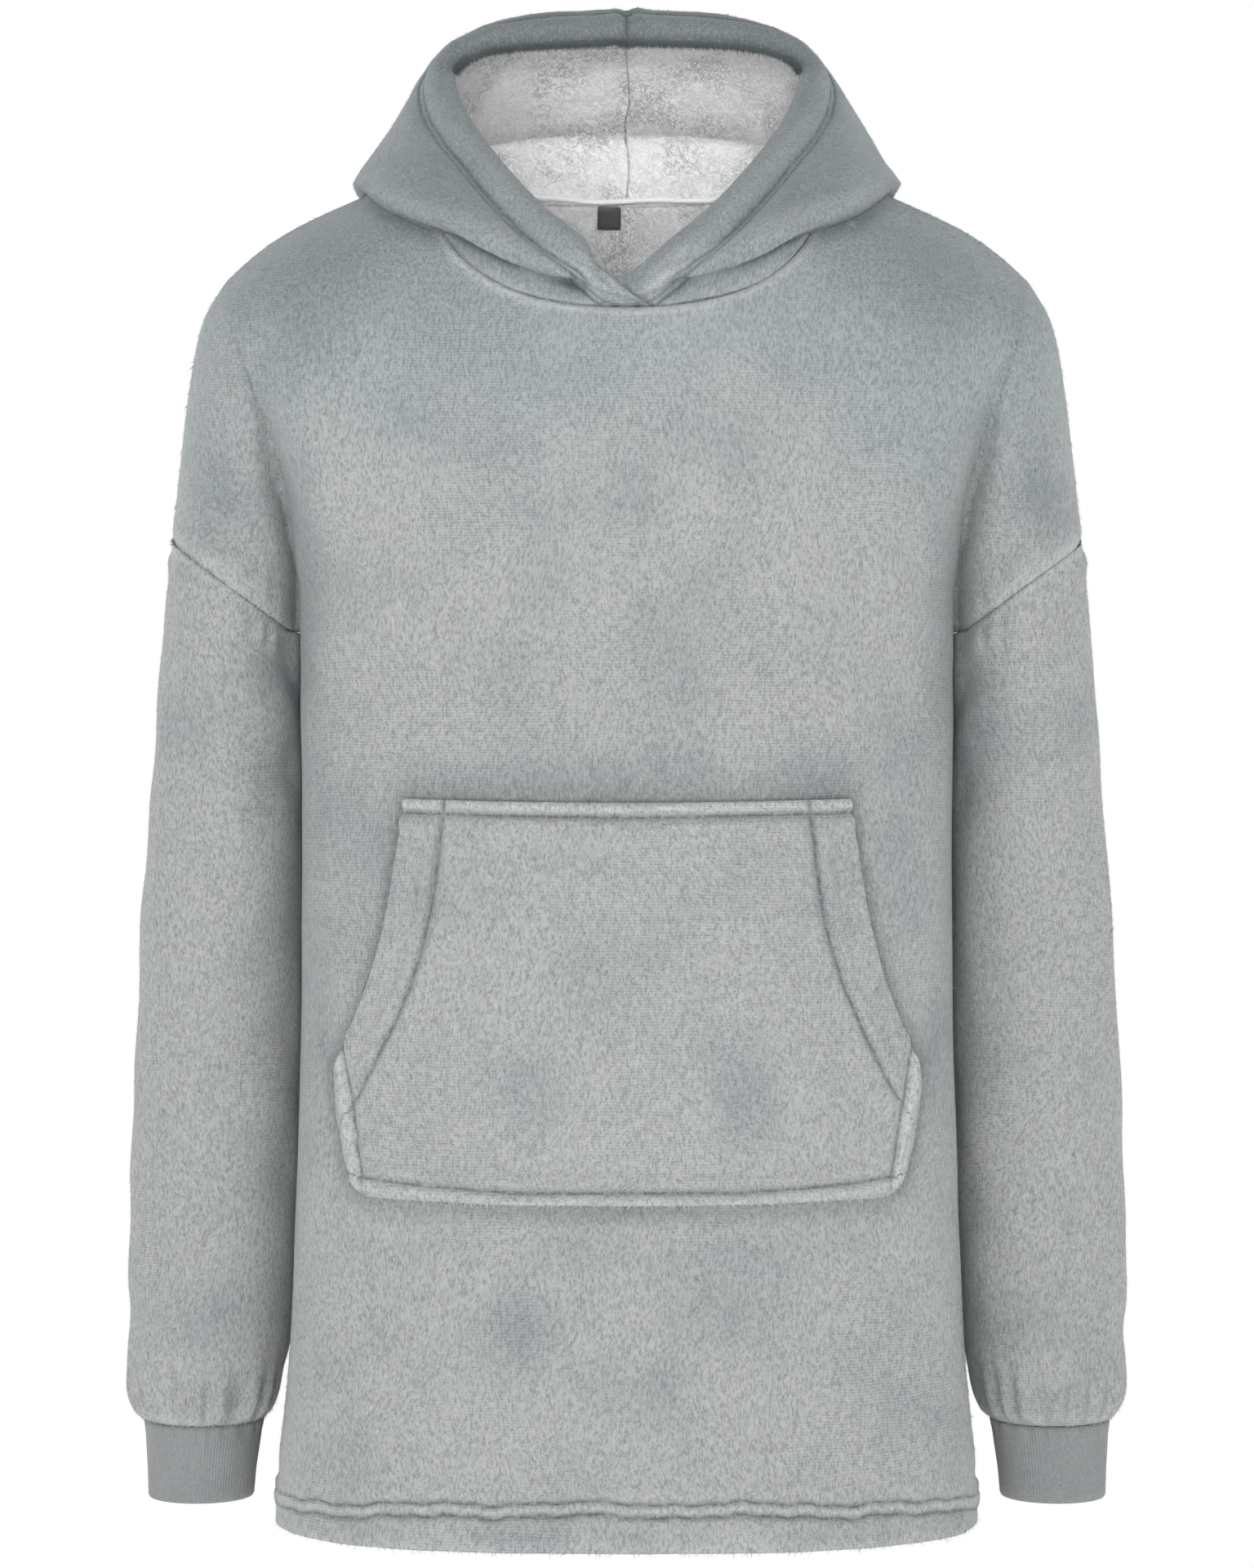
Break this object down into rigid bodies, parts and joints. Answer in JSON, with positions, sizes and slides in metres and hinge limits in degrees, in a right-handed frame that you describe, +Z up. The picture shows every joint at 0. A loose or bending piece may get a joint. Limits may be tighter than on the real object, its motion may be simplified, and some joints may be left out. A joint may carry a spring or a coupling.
{
  "type": "hooded blanket sweatshirt",
  "caption": "Oversized hooded blanket sweatshirt in grey plush with a white pile lining, dropped shoulders, rib cuffs and a pouch pocket, filled out as if worn.",
  "frame": {"origin": "middle of the neck, level with the neck points of the two shoulders", "axes": "+Z up along the body, front facing -Y, +X to the wearer's left"},
  "size_m": [0.66, 0.3505, 0.991],
  "materials": {
    "front": "brushed plush",
    "back": "brushed plush",
    "sleeve_left": "brushed plush",
    "sleeve_right": "brushed plush",
    "cuff_left": "ribbed knit",
    "cuff_right": "ribbed knit",
    "hood_left": "brushed plush",
    "hood_right": "brushed plush",
    "hood_lining_left": "curly pile",
    "hood_lining_right": "curly pile",
    "back_lining": "curly pile",
    "pocket": "brushed plush",
    "size_label": "woven"
  },
  "bodies": {
    "root": {"front": "front", "back": "back", "sleeve_left": "sleeve_left", "sleeve_right": "sleeve_right", "cuff_left": "cuff_left", "cuff_right": "cuff_right", "hood_left": "hood_left", "hood_right": "hood_right", "hood_lining_left": "hood_lining_left", "hood_lining_right": "hood_lining_right", "back_lining": "back_lining", "pocket": "pocket", "size_label": "size_label"}
  },
  "joints": []
}
